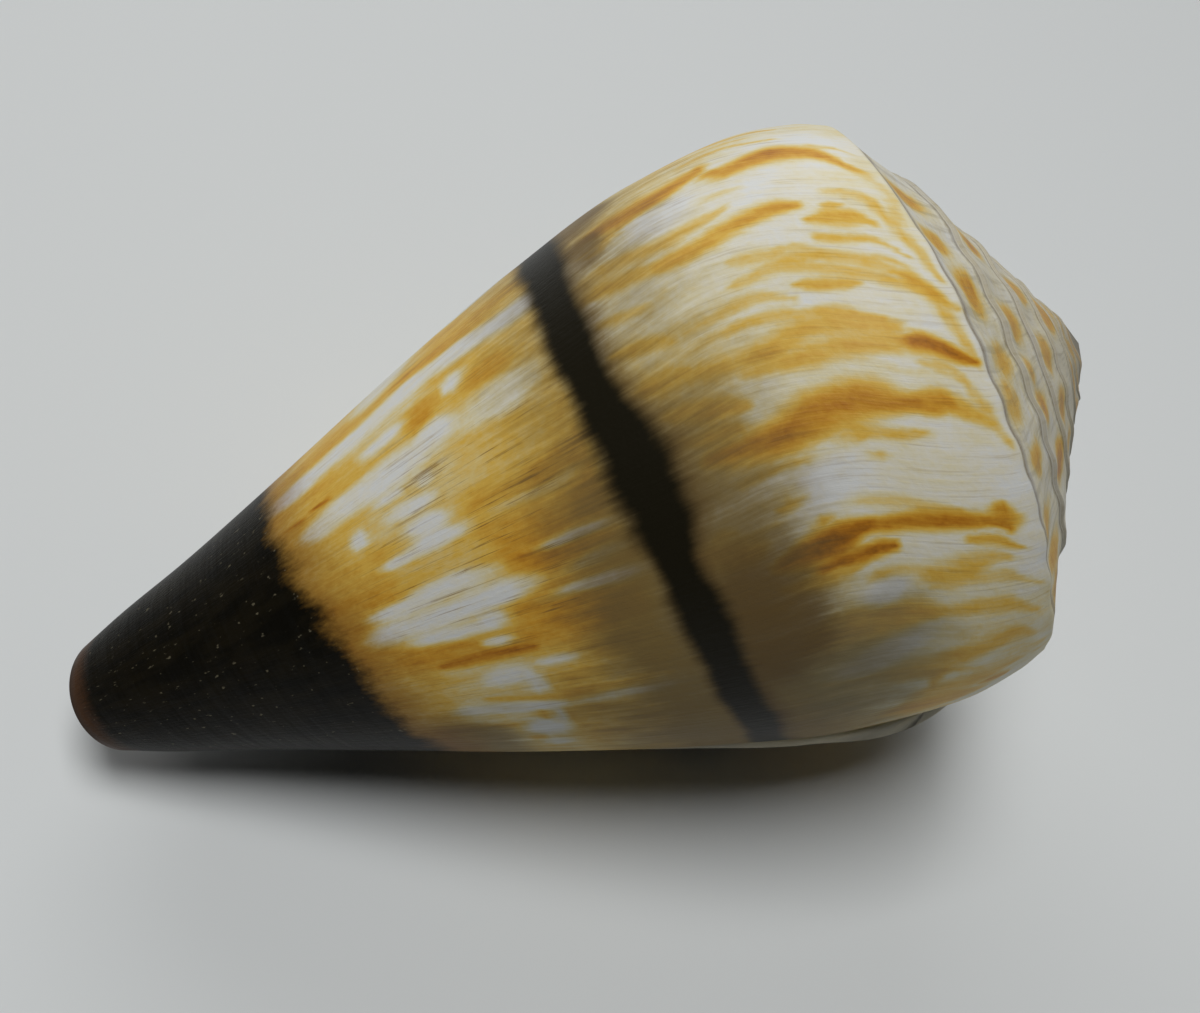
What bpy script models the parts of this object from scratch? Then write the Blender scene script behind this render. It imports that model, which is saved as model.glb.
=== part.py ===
"""A cone shell about 86 mm long, lying on its side as it was put down on a table.

The shell is one piece. It grew as a tube that winds round an axis, so its whole surface comes from one
rule: a whorl outline, turned and enlarged as the shell grew. Turns are counted back from the lip, which is
the newest shell (turn 0), towards the apex, which is the oldest. The finished solid has the real shell's
parts: a tapered body, a shoulder, a low stepped spire, a thin outer lip, a long narrow mouth that leads into
a hollow round the pillar, and an open front end.

Metres, +Z up. The shell is modelled along X with its apex towards +X, then laid down on the table at z = 0.
"""

import math

import bmesh
import bpy
import numpy as np
from mathutils import Matrix, Vector

MM = 0.001

# Sizes at the lip, measured from the apex along the axis and out from the axis.
SHELL_LENGTH = 86.4 * MM
SHOULDER_BACK = 18.2 * MM
SHOULDER_RADIUS = 25.5 * MM

# How fast the shell grew, per turn. It slowed over the last turn, so the mouth is a narrow slit.
SPIRE_GROWTH = 0.315
LATE_GROWTH = 0.145
EARLY_GROWTH = 0.32
SLOWING_TURN = 0.90
SLOWING_SPREAD = 0.08

# The body's outline at the lip: share of the way from the shoulder to the front end, and radius there
# as a share of the shoulder's. It swells a little below the shoulder and then tapers almost straight.
OUTLINE = (
    (0.00, 1.000),
    (0.03, 1.033),
    (0.10, 1.063),
    (0.22, 1.028),
    (0.38, 0.900),
    (0.55, 0.722),
    (0.72, 0.522),
    (0.86, 0.361),
    (0.95, 0.268),
    (1.00, 0.208),
)

# The lip's edge, which every growth line repeats: share of the way from the shoulder to the front end, and
# how far the line lags there, in turns. It is most forward a little below the shoulder.
LIP_LINE = (
    (0.00, 0.000),
    (0.05, -0.004),
    (0.12, -0.002),
    (0.22, 0.009),
    (0.35, 0.016),
    (0.60, 0.022),
    (0.80, 0.034),
    (1.00, 0.050),
)
RAMP_LAG = 0.004

# Each older whorl shows this much wall above the seam, and its ramp dips between the seam and its edge.
WALL_SHOWING = 0.6 * MM
RAMP_DIP = 0.2 * MM
APEX_WEAR = 0.8 * MM

# The wall, the hollow behind the mouth, and how far the front end is cut back across the shell. The turn at
# which it reaches furthest is on the side away from the mouth.
LIP_THICKNESS = 1.1 * MM
WALL_THICKNESS = 1.7 * MM
HOLLOW_TURNS = 0.80
PILLAR_PINCH = 0.40
PINCH_START, PINCH_END = 0.93, 1.08
FRONT_SLANT = 4.6 * MM
LONGEST_TURN = 0.65

# The front end bends a little to one side: from how far along, how much at the very end, and towards
# which turn.
BEND_FROM = 56.0 * MM
FRONT_BEND = 0.6 * MM
BEND_TURN = 0.45

# How the shell lies: the lip's edge this far round from straight down, on the side towards -Y, and the
# axis tipped this much, front end down, so that the shell touches the table under its centre of mass.
# The belly is worn flat by this much where it touches, which keeps the shell from rolling.
LIP_ROUND = math.radians(45.0)
AXIS_TILT = math.radians(20.2)
RESTING_FLAT = 0.50 * MM

# Steps of the mesh.
STEPS_ROUND = 60
BODY_ROWS = 21
WALL_ROWS = 1
RAMP_ROWS = 3
SPIRE_WHORLS = 7

ROWS_PER_WHORL = WALL_ROWS + RAMP_ROWS
HOLLOW_ROWS = BODY_ROWS - 1


def smooth_through(points, x):
    """A smooth curve through points, with no overshoot between them (monotone cubic)."""
    xs, ys = np.array(points).T
    step, rise = np.diff(xs), np.diff(ys) / np.diff(xs)
    slope = np.zeros(len(xs))
    inner = rise[:-1] * rise[1:] > 0
    weight_a, weight_b = 2 * step[1:] + step[:-1], step[1:] + 2 * step[:-1]
    with np.errstate(divide="ignore", invalid="ignore"):
        mean = (weight_a + weight_b) / (weight_a / rise[:-1] + weight_b / rise[1:])
    slope[1:-1] = np.where(inner, mean, 0.0)
    slope[0], slope[-1] = rise[0], rise[-1]
    i = np.clip(np.searchsorted(xs, x, side="right") - 1, 0, len(step) - 1)
    t = (x - xs[i]) / step[i]
    return (
        ys[i] * (1 + 2 * t) * (1 - t) ** 2
        + slope[i] * step[i] * t * (1 - t) ** 2
        + ys[i + 1] * t * t * (3 - 2 * t)
        - slope[i + 1] * step[i] * t * t * (1 - t)
    )


def width_at(turn):
    """How wide the shell was this many turns before the lip, as a share of its width at the lip."""
    hinge = SLOWING_SPREAD * (
        math.log1p(math.exp((turn - SLOWING_TURN) / SLOWING_SPREAD))
        - math.log1p(math.exp(-SLOWING_TURN / SLOWING_SPREAD))
    )
    return math.exp(-LATE_GROWTH * turn - (EARLY_GROWTH - LATE_GROWTH) * hinge)


def shoulder_at(turn):
    """The shoulder this many turns back: how far from the apex, and its radius."""
    return SHOULDER_BACK * math.exp(-SPIRE_GROWTH * turn), SHOULDER_RADIUS * width_at(turn)


def front_at(turn):
    """How far the front end lies from the apex."""
    return SHELL_LENGTH - FRONT_SLANT * (0.5 - 0.5 * math.cos(math.tau * (turn - LONGEST_TURN)))


def body_at(turn, share, inset=0.0):
    """The outer surface below the shoulder: (from the apex, from the axis, how far the growth line lags)."""
    back, _ = shoulder_at(turn)
    along = back + share * (front_at(turn) - back)
    radius = SHOULDER_RADIUS * width_at(turn) * float(smooth_through(OUTLINE, share))
    inside = min(max((turn - PINCH_START) / (PINCH_END - PINCH_START), 0.0), 1.0)
    radius *= 1 - PILLAR_PINCH * share**2 * inside**2 * (3 - 2 * inside)
    return along, radius - inset, float(smooth_through(LIP_LINE, share))


def wall_share(turn):
    """The share of the body, measured from the shoulder, that stays showing above the next seam."""
    return WALL_SHOWING * width_at(turn) / (front_at(turn) - shoulder_at(turn)[0])


def ramp_at(turn, share):
    """The sloping top of a whorl, from its shoulder (share 0) to the seam on the whorl before (share 1)."""
    outer = np.array(body_at(turn, 0.0))
    seam = np.array(body_at(turn + 1, wall_share(turn + 1)))
    along, radius, lag = outer + (seam - outer) * share
    bow = math.sin(math.pi * share)
    return along + RAMP_DIP * width_at(turn) * bow, radius, lag + RAMP_LAG * bow


def worn(along, radius, lag):
    """Wear rounds the apex off: points close to it are pushed back onto a small dome."""
    return math.hypot(along, APEX_WEAR), radius, lag


def place(turn, along, radius, lag=0.0):
    """A point in space. A cone shell is right handed: seen from the apex it winds clockwise outwards."""
    angle = math.tau * (turn + lag)
    bend = FRONT_BEND * (max(along - BEND_FROM, 0.0) / (SHELL_LENGTH - BEND_FROM)) ** 1.5
    bend_angle = math.tau * BEND_TURN
    return Vector((
        -along,
        radius * math.cos(angle) + bend * math.cos(bend_angle),
        radius * math.sin(angle) + bend * math.sin(bend_angle),
    ))


def body_shares(turn):
    """Shares of the body rows, from the front end up to the shoulder. The last one is the wall's foot."""
    foot = wall_share(turn)
    even = [(1 - i / (BODY_ROWS - 1)) for i in range(BODY_ROWS)]
    return [foot + (1 - foot) * e**1.15 for e in even]


def outer_rows(turn):
    """The outside from the front end to the apex, in the plane of one turn."""
    rows = [body_at(turn, share) for share in body_shares(turn)]
    for whorl in range(SPIRE_WHORLS):
        t = turn + whorl
        foot = wall_share(t)
        rows += [body_at(t, foot * (1 - i / WALL_ROWS)) for i in range(1, WALL_ROWS + 1)]
        rows += [ramp_at(t, i / RAMP_ROWS) for i in range(1, RAMP_ROWS + 1)]
    return [worn(*row) for row in rows]


def wall_at(turn):
    """How thick the wall is this many turns behind the lip: thin at the edge, full a little way in."""
    return LIP_THICKNESS + (WALL_THICKNESS - LIP_THICKNESS) * min(turn / 0.12, 1.0) ** 0.5


def hollow_rows(turn):
    """The hollow behind one growth line: rows on the pillar side, and rows facing them under the outer wall.

    Below the shoulder those face the inside of the wall. Above it they follow the underside of the ramp.
    """
    back, _ = shoulder_at(turn)
    front = front_at(turn)
    wall = wall_at(turn)
    shoulder = np.array(body_at(turn, 0.0, wall)) + (wall, 0, 0)
    seam = np.array(body_at(turn + 1, wall_share(turn + 1))) + (wall, 0, 0)
    pillar, outer = [], []
    for share in body_shares(turn + 1)[:HOLLOW_ROWS]:
        near = body_at(turn + 1, share)
        pillar.append(near)
        if near[0] > shoulder[0]:
            outer.append(body_at(turn, (near[0] - back) / (front - back), wall))
        else:
            up = (shoulder[0] - near[0]) / (shoulder[0] - seam[0])
            outer.append(tuple(shoulder + (seam - shoulder) * min(up, 0.9)))
    return pillar, outer


def build_shell():
    """The whole surface: outside, lip, hollow and front end, joined into one closed mesh."""
    mesh = bmesh.new()

    def column(turn, rows):
        return [mesh.verts.new(place(turn, *row)) for row in rows]

    def sheet(first, second):
        """Quads between two neighbouring columns, facing the same way all along."""
        for a, b, c, d in zip(first, first[1:], second[1:], second):
            mesh.faces.new((a, b, c, d))

    turns = [1 - i / STEPS_ROUND for i in range(STEPS_ROUND + 1)]
    foot = BODY_ROWS - 1
    outside = [column(turn, outer_rows(turn)) for turn in turns[:-1]]
    lip = column(0.0, outer_rows(0.0)[: foot + ROWS_PER_WHORL])
    outside.append(lip + outside[0][foot : len(outside[0]) - ROWS_PER_WHORL])
    for first, second in zip(outside, outside[1:]):
        sheet(first, second)

    # The apex closes with a fan round the end of the spiral.
    tip = mesh.verts.new(place(0.0, *worn(0.0, 0.0, 0.0)))
    rim = [col[-1] for col in outside] + outside[0][-ROWS_PER_WHORL:]
    for a, b in zip(rim, rim[1:]):
        mesh.faces.new((a, tip, b))

    # The hollow runs back from the mouth between the outer wall and the pillar.
    deepest = STEPS_ROUND - round(HOLLOW_TURNS * STEPS_ROUND)
    pillar, inner = [], []
    for turn in turns[deepest:]:
        near, far = hollow_rows(turn)
        pillar.append(outside[0][:HOLLOW_ROWS] if turn == 0 else column(turn + 1, near))
        inner.append(column(turn, far))
    for first, second in zip(inner, inner[1:]):
        sheet(second, first)
    for first, second in zip(pillar, pillar[1:]):
        sheet(first, second)
    sheet(pillar[0], inner[0])
    tops = [(p[-1], q[-1]) for p, q in zip(pillar, inner)]
    for (p1, q1), (p2, q2) in zip(tops, tops[1:]):
        mesh.faces.new((p1, q1, q2, p2))

    # The lip's edge, and the flat of the whorl's end between the mouth and the seam.
    edge = outside[-1]
    sheet(edge[:HOLLOW_ROWS], inner[-1])
    mesh.faces.new(
        edge[HOLLOW_ROWS - 1 : foot + ROWS_PER_WHORL + 1]
        + outside[0][HOLLOW_ROWS - 1 : foot][::-1]
        + [inner[-1][-1]]
    )

    # The front end: a rim as thick as the wall, and the pillar's end.
    for i in range(len(inner) - 1):
        a, b = outside[deepest + i][0], outside[deepest + i + 1][0]
        mesh.faces.new((a, b, inner[i + 1][0], inner[i][0]))
    ring = [col[0] for col in outside[: deepest + 1]] + [inner[0][0]] + [col[0] for col in pillar]
    middle = mesh.verts.new(place(0.0, front_at(0.25), 0.0))
    for a, b in zip(ring, ring[1:]):
        mesh.faces.new((b, middle, a))

    bmesh.ops.recalc_face_normals(mesh, faces=mesh.faces)
    bmesh.ops.triangulate(mesh, faces=mesh.faces)
    return mesh


def lay_down(mesh):
    """Roll the shell so that its lip is where it was, tip it onto its belly, and put it at z = 0.

    It rests on a small flat, worn on the belly just under its centre of mass.
    """
    # The lip's edge is at angle 0 (towards +Y) as built. Straight down is -90 degrees, and -Y lies beyond.
    mesh.transform(Matrix.Rotation(-math.pi / 2 - LIP_ROUND, 4, "X"))
    mesh.transform(Matrix.Rotation(-AXIS_TILT, 4, "Y"))
    points = np.array([v.co for v in mesh.verts])
    centre = 0.5 * (points.min(axis=0) + points.max(axis=0))
    shift = Vector((-centre[0], -centre[1], -points[:, 2].min() - RESTING_FLAT))
    mesh.transform(Matrix.Translation(shift))
    for vert in mesh.verts:
        vert.co.z = max(vert.co.z, 0.0)
    print(f"moved onto the table by {[round(s / MM, 4) for s in shift]} mm")


def shell_material():
    """Glossy, off-white shell. The markings belong to the finish, not to the shape."""
    material = bpy.data.materials.new("glossy shell")
    material.use_nodes = True
    finish = material.node_tree.nodes["Principled BSDF"]
    finish.inputs["Base Color"].default_value = (0.80, 0.68, 0.45, 1.0)
    finish.inputs["Roughness"].default_value = 0.30
    finish.inputs["Metallic"].default_value = 0.0
    return material


def main():
    for old in list(bpy.data.objects):
        bpy.data.objects.remove(old, do_unlink=True)
    mesh = build_shell()
    lay_down(mesh)
    data = bpy.data.meshes.new("shell")
    mesh.to_mesh(data)
    mesh.free()
    data.polygons.foreach_set("use_smooth", [True] * len(data.polygons))
    data.materials.append(shell_material())
    shell = bpy.data.objects.new("shell", data)
    bpy.context.scene.collection.objects.link(shell)
    size = shell.dimensions / MM
    print(f"shell {size.x:.1f} x {size.y:.1f} x {size.z:.1f} mm, {len(data.polygons)} triangles")


main()
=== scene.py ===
# %% [markdown]
# # A cone shell, seen from above on a pale table
#
# This file dresses one solid, `shell`, with the surface that a grown cone shell has: fine growth lines,
# ribs near the front end, a porcelain-like gloss, and its brown, golden and white markings. The camera
# looks down on it from the same side and the same closeness as the photograph.

import math

import bpy
import numpy as np
from mathutils import Matrix, Vector


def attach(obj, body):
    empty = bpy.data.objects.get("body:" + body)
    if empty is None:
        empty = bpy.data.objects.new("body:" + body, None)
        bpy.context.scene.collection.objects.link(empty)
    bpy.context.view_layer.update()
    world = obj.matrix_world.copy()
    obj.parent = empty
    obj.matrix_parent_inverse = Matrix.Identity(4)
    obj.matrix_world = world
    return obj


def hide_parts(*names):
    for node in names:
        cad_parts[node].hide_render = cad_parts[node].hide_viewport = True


MM = 0.001
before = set(bpy.data.objects)
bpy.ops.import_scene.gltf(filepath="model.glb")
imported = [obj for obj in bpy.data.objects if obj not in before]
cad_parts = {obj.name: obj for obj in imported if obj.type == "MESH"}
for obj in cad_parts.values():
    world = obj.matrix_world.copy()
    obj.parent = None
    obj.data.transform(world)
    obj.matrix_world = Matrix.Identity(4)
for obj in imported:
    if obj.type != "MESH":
        bpy.data.objects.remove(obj)
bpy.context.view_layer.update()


# %% [markdown]
# ## How the shell grew
#
# A snail adds shell only at the lip. Each new strip is the last one, turned a little further round the
# axis and made a little larger, so the whole surface is one outline swept along a spiral. Turns are
# counted back from the lip. The older a strip is, the higher its turn and the smaller it is.
#
# A shell could be sculpted, or turned as a cone with a groove cut into it. Neither keeps the seams, the
# lip and the marks in step, so the surface is worked out from the growth itself. Everything drawn on
# the shell is placed the same way: by its turn, and by its share of the way from the shoulder down to
# the front end.

# %% Growth rule
# Lengths are in mm, as the solid's are.
LENGTH = 86.4
SHOULDER_BACK, SHOULDER_RADIUS = 18.2, 25.5
# How fast older shell gets smaller with each turn back: the spire's height, then the width, first in the
# newest whorl and then in the older ones.
SPIRE_GROWTH, LATE_GROWTH, EARLY_GROWTH = 0.315, 0.145, 0.32
# The turn at which the width changes from the one rate to the other, and how softly.
SLOWING_TURN, SLOWING_SPREAD = 0.90, 0.08
# The front end is cut at a slant: by how much, and the turn at which the shell is longest.
FRONT_SLANT, LONGEST_TURN = 4.6, 0.65
# The outline of the body: share of the way down, and radius as a share of the shoulder's.
OUTLINE = (
    (0.00, 1.000), (0.03, 1.033), (0.10, 1.063), (0.22, 1.028), (0.38, 0.900),
    (0.55, 0.722), (0.72, 0.522), (0.86, 0.361), (0.95, 0.268), (1.00, 0.208),
)
# The lip's edge, and so every growth line: share of the way down, and how many turns it lags there.
LIP_LINE = (
    (0.00, 0.000), (0.05, -0.004), (0.12, -0.002), (0.22, 0.009),
    (0.35, 0.016), (0.60, 0.022), (0.80, 0.034), (1.00, 0.050),
)


def smooth_through(points, x):
    """A smooth curve through points, with no overshoot between them."""
    xs, ys = np.array(points, float).T
    x = np.asarray(x, float)
    step, rise = np.diff(xs), np.diff(ys) / np.diff(xs)
    slope = np.zeros(len(xs))
    wa, wb = 2 * step[1:] + step[:-1], step[1:] + 2 * step[:-1]
    with np.errstate(divide="ignore", invalid="ignore"):
        mean = (wa + wb) / (wa / rise[:-1] + wb / rise[1:])
    slope[1:-1] = np.where(rise[:-1] * rise[1:] > 0, mean, 0.0)
    slope[0], slope[-1] = rise[0], rise[-1]
    i = np.clip(np.searchsorted(xs, x, side="right") - 1, 0, len(step) - 1)
    t = (x - xs[i]) / step[i]
    return (
        ys[i] * (1 + 2 * t) * (1 - t) ** 2 + slope[i] * step[i] * t * (1 - t) ** 2
        + ys[i + 1] * t * t * (3 - 2 * t) - slope[i + 1] * step[i] * t * t * (1 - t)
    )


def ease(low, high, x):
    """0 below low, 1 above high, and a smooth step between."""
    t = np.clip((np.asarray(x, float) - low) / (high - low), 0, 1)
    return t * t * (3 - 2 * t)


def width_at(turn):
    spread = np.logaddexp(0, (turn - SLOWING_TURN) / SLOWING_SPREAD)
    spread = SLOWING_SPREAD * (spread - np.logaddexp(0, -SLOWING_TURN / SLOWING_SPREAD))
    return np.exp(-LATE_GROWTH * turn - (EARLY_GROWTH - LATE_GROWTH) * spread)


def shoulder_back(turn):
    return SHOULDER_BACK * np.exp(-SPIRE_GROWTH * turn)


def front_at(turn):
    return LENGTH - FRONT_SLANT * (0.5 - 0.5 * np.cos(math.tau * (turn - LONGEST_TURN)))


print("width one turn back:", round(float(width_at(1.0)), 3))
print("width two turns back:", round(float(width_at(2.0)), 3))

# %% [markdown]
# ## Points of the body and of the spire
#
# The body is the long taper below the shoulder. The spire is what each whorl leaves uncovered: a thin
# strip of its wall, and above that a ramp that slopes up to the seam. Both come from the same outline,
# so a point needs only its turn and its share. The front end bends a little to one side, and the pillar
# that the whorls wind round is pinched in.

# %% Body, ramp and place in space
# Each seam lies this far below the older whorl's shoulder, so that much of its wall shows.
WALL_SHOWING = 0.6
# The ramp sags between shoulder and seam by this much, and its growth lines lag there by this many turns.
RAMP_DIP, RAMP_LAG = 0.2, 0.004
# The pillar gets thinner towards the front end by this share, and that sets in between these turns.
PILLAR_PINCH, PINCH_START, PINCH_END = 0.40, 0.93, 1.08
# The front end bends sideways: from how far along, by how much, and towards which turn.
BEND_FROM, FRONT_BEND, BEND_TURN = 56.0, 0.6, 0.45


def body_at(turn, share, inset=0.0):
    """A point of the body: along the axis from the apex, out from the axis, and the growth line's lag."""
    back = shoulder_back(turn)
    along = back + share * (front_at(turn) - back)
    radius = SHOULDER_RADIUS * width_at(turn) * smooth_through(OUTLINE, share)
    radius = radius * (1 - PILLAR_PINCH * share**2 * ease(PINCH_START, PINCH_END, turn))
    return np.stack(np.broadcast_arrays(along, radius - inset, smooth_through(LIP_LINE, share)), -1)


def wall_share(turn):
    return WALL_SHOWING * width_at(turn) / (front_at(turn) - shoulder_back(turn))


def ramp_at(turn, share):
    """The sloping top of a whorl, from its shoulder (share 0) to the seam on the whorl before (share 1)."""
    outer = body_at(turn, np.zeros_like(turn))
    seam = body_at(turn + 1, wall_share(turn + 1))
    point = outer + (seam - outer) * share[..., None]
    bow = np.sin(math.pi * share)
    point[..., 0] += RAMP_DIP * width_at(turn) * bow
    point[..., 2] += RAMP_LAG * bow
    return point


def place(turn, point):
    """Points in space: the shell winds clockwise outwards, seen from the apex."""
    angle, bend_angle = math.tau * (turn + point[..., 2]), math.tau * BEND_TURN
    bend = FRONT_BEND * (np.maximum(point[..., 0] - BEND_FROM, 0) / (LENGTH - BEND_FROM)) ** 1.5
    y = point[..., 1] * np.cos(angle) + bend * math.cos(bend_angle)
    z = point[..., 1] * np.sin(angle) + bend * math.sin(bend_angle)
    return np.stack([-point[..., 0], y, z], -1)


top_of_body = place(np.array(0.0), body_at(np.array(0.0), np.array(0.0)))
print("shoulder at the lip, in mm:", top_of_body.round(1).tolist())

# %% [markdown]
# ## The surface as a fine net
#
# The net follows the growth: its columns are growth lines and its rows run round the spiral. Each column
# goes from the front end up the body, over the shoulder and on over every whorl of the spire.
# After one whole turn the net meets itself one whorl higher, where the two are sewn together.
#
# A subdivided copy of the solid would be quicker, but its faces don't follow the growth lines, and the
# marks need every point's turn and share.

# %% Rows of the outside
STEPS, BODY_ROWS, WALL_ROWS, RAMP_ROWS, WHORLS = 420, 120, 3, 7, 7
PER_WHORL = WALL_ROWS + RAMP_ROWS
# Rows lie a little closer together near the shoulder.
CROWDING = 1.1
# The apex is worn blunt by about this much.
APEX_WEAR = 0.8


def body_shares(turn, count=BODY_ROWS):
    foot = wall_share(turn)[:, None]
    even = 1 - np.arange(count) / (count - 1)
    return foot + (1 - foot) * even[None] ** CROWDING


def outer_grid(turns):
    """Columns of the outside, with turn and share (of the way down the body, or minus that up the ramp)."""
    points, turn_of, share_of = [], [], []
    shares = body_shares(turns)
    body = body_at(turns[:, None], shares)
    points.append(body)
    turn_of.append(np.broadcast_to(turns[:, None], shares.shape))
    share_of.append(shares)
    for whorl in range(WHORLS):
        t = (turns + whorl)[:, None]
        wall = wall_share(t) * (1 - np.arange(1, WALL_ROWS + 1)[None] / WALL_ROWS)
        ramp = np.broadcast_to(np.arange(1, RAMP_ROWS + 1)[None] / RAMP_ROWS, (len(turns), RAMP_ROWS))
        tt = np.broadcast_to(t, (len(turns), WALL_ROWS))
        points.append(body_at(tt, wall))
        turn_of.append(tt)
        share_of.append(wall)
        tt = np.broadcast_to(t, (len(turns), RAMP_ROWS))
        points.append(ramp_at(tt, ramp))
        turn_of.append(tt)
        share_of.append(-ramp)
    points = np.concatenate(points, 1)
    points[..., 0] = np.hypot(points[..., 0], APEX_WEAR)
    return points, np.concatenate(turn_of, 1), np.concatenate(share_of, 1)


print("points on one column:", BODY_ROWS + WHORLS * PER_WHORL)

# %% [markdown]
# ## The mouth and the hollow behind it
#
# The mouth is a long narrow slit between the lip and the pillar. It leads into a hollow that winds
# inwards. The wall is thin at the lip and thicker within. Cutting the hollow out with another solid
# would leave ragged edges along the thin lip, so its two sides are made as sheets that run on from the
# outside.

# %% Sides of the hollow
LIP_THICKNESS, WALL_THICKNESS, HOLLOW_TURNS = 1.1, 1.7, 0.80
# The wall reaches its full thickness this many turns behind the lip.
THICKENING = 0.12
HOLLOW_ROWS = BODY_ROWS - 1
# One column of the hollow for every seventh of the outside.
HOLLOW_STEP = 7


def wall_at(turn):
    return LIP_THICKNESS + (WALL_THICKNESS - LIP_THICKNESS) * np.sqrt(np.clip(turn / THICKENING, 0, 1))


def hollow_grids(turns):
    """The hollow: the pillar side, and the underside of the outer wall and ramp that faces it."""
    shares = body_shares(turns + 1)[:, :HOLLOW_ROWS]
    near = body_at((turns + 1)[:, None], shares)
    back, front, wall = shoulder_back(turns)[:, None], front_at(turns)[:, None], wall_at(turns)[:, None]
    shoulder = body_at(turns, 0 * turns, wall[:, 0])
    shoulder[:, 0] += wall[:, 0]
    seam = body_at(turns + 1, wall_share(turns + 1))
    seam[:, 0] += wall[:, 0]
    under = body_at(turns[:, None], np.clip((near[..., 0] - back) / (front - back), 0, 1), wall)
    drop = shoulder[:, None, 0] - seam[:, None, 0]
    up = np.clip((shoulder[:, None, 0] - near[..., 0]) / drop, 0, 0.9)[..., None]
    roof = shoulder[:, None] + (seam - shoulder)[:, None] * up
    far = np.where((near[..., 0] > shoulder[:, None, 0])[..., None], under, roof)
    return near, far, shares


print("the hollow winds in by", HOLLOW_TURNS, "of a turn")

# %% [markdown]
# ## Sewing the net
#
# Every sheet shares its edge points with its neighbours, so the mesh is closed and has no seam to
# shade wrongly. The lip's edge, the front rim and the apex are closed with their own small faces.

# %% A net that collects points and faces
class Net:
    """Collects points and faces, then becomes one mesh object."""

    def __init__(self):
        self.points, self.turn, self.share, self.part, self.faces = [], [], [], [], []
        self.count = 0

    def add(self, xyz, turn, share, part):
        xyz = np.asarray(xyz).reshape(-1, 3)
        ids = np.arange(self.count, self.count + len(xyz))
        self.count += len(xyz)
        self.points.append(xyz)
        self.turn.append(np.broadcast_to(turn, ids.shape))
        self.share.append(np.broadcast_to(share, ids.shape))
        self.part.append(np.full(len(xyz), float(part)))
        return ids

    def sheet(self, first, second):
        """Quads between neighbouring columns or rows of point numbers."""
        a, b, c, d = first[:-1], first[1:], second[1:], second[:-1]
        self.faces.append(np.stack([b, c, d, a], 1))


net = Net()

# %% Outside and apex
# The columns run from one turn back to the lip itself.
turns = 1 - np.arange(STEPS + 1) / STEPS
points, turn_of, share_of = outer_grid(turns)
rows = points.shape[1]
foot = BODY_ROWS - 1
xyz = place(turn_of, points)
grid = net.add(xyz[:-1], turn_of[:-1].ravel(), share_of[:-1].ravel(), 0).reshape(STEPS, rows)
# The lip has points of its own up to its first seam. From there it is the first column, one whorl higher.
lip_rows = foot + PER_WHORL
lip = net.add(xyz[-1, :lip_rows], turn_of[-1, :lip_rows], share_of[-1, :lip_rows], 0)
last = np.concatenate([lip, grid[0, foot : rows - PER_WHORL]])
outside = np.vstack([grid, last[None]])
for i in range(STEPS):
    net.sheet(outside[i], outside[i + 1])
# The apex is closed with a fan of triangles.
tip = net.add([[-APEX_WEAR, 0, 0]], [8.0], [-1.0], 0)[0]
rim = np.concatenate([outside[:, -1], outside[0, -PER_WHORL:]])
apex_fan = np.stack([rim[:-1], np.full(len(rim) - 1, tip), rim[1:]], 1)
print("columns:", len(outside), "with", rows, "points each")

# %% Hollow and lip
deepest = STEPS - round(HOLLOW_TURNS * STEPS)
back_turns = turns[deepest::HOLLOW_STEP]
near, far, shares = hollow_grids(back_turns)
inner = net.add(
    place(back_turns[:, None], far), np.repeat(back_turns, HOLLOW_ROWS), shares.ravel(), 1
).reshape(len(back_turns), HOLLOW_ROWS)
pillar = net.add(
    place(back_turns[:-1, None] + 1, near[:-1]),
    np.repeat(back_turns[:-1] + 1, HOLLOW_ROWS), shares[:-1].ravel(), 1,
).reshape(len(back_turns) - 1, HOLLOW_ROWS)
pillar = np.vstack([pillar, outside[0, :HOLLOW_ROWS][None]])
for i in range(len(back_turns) - 1):
    net.sheet(inner[i + 1], inner[i])
    net.sheet(pillar[i], pillar[i + 1])
# The wall at the hollow's end, the strip along its roof, and the lip's own edge.
net.sheet(pillar[0], inner[0])
net.sheet(pillar[:, -1], inner[:, -1])
net.sheet(outside[-1][:HOLLOW_ROWS], inner[-1])
print("columns of the hollow:", len(inner))

# %% Front rim and shoulder of the lip
# Each cell of the front rim spans one column of the hollow and several of the outside.
front_rim = []
for i in range(len(inner) - 1):
    start = deepest + i * HOLLOW_STEP
    front_rim.append(list(outside[start : start + HOLLOW_STEP + 1, 0]) + [inner[i + 1, 0], inner[i, 0]])
# Round the pillar the front end is closed with a fan, from a point on the axis.
ring = np.concatenate([outside[: deepest + 1, 0], inner[:1, 0], pillar[:, 0]])
middle_point = place(np.array(1.5), np.array([front_at(0.25), 0.0, 0.0]))
middle = net.add(middle_point, [1.5], [1.0], 1)[0]
front_fan = np.stack([ring[1:], np.full(len(ring) - 1, middle), ring[:-1]], 1)
# The strip of shoulder at the lip's edge, closed as one face.
edge = outside[-1]
end_flat = np.concatenate([
    edge[HOLLOW_ROWS - 1 : foot + PER_WHORL + 1], outside[0, HOLLOW_ROWS - 1 : foot][::-1], [inner[-1, -1]],
])
print("points in the net:", net.count)

# %% [markdown]
# ## An uneven spire
#
# The whorls of an old spire are not smooth: they are worn and a little lumpy, by a tenth of a
# millimetre or two. Modelling each dent would take hundreds of small choices. A few long waves added
# together, in the mesh itself, give the same uneven light along the seams and the outline.

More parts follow.
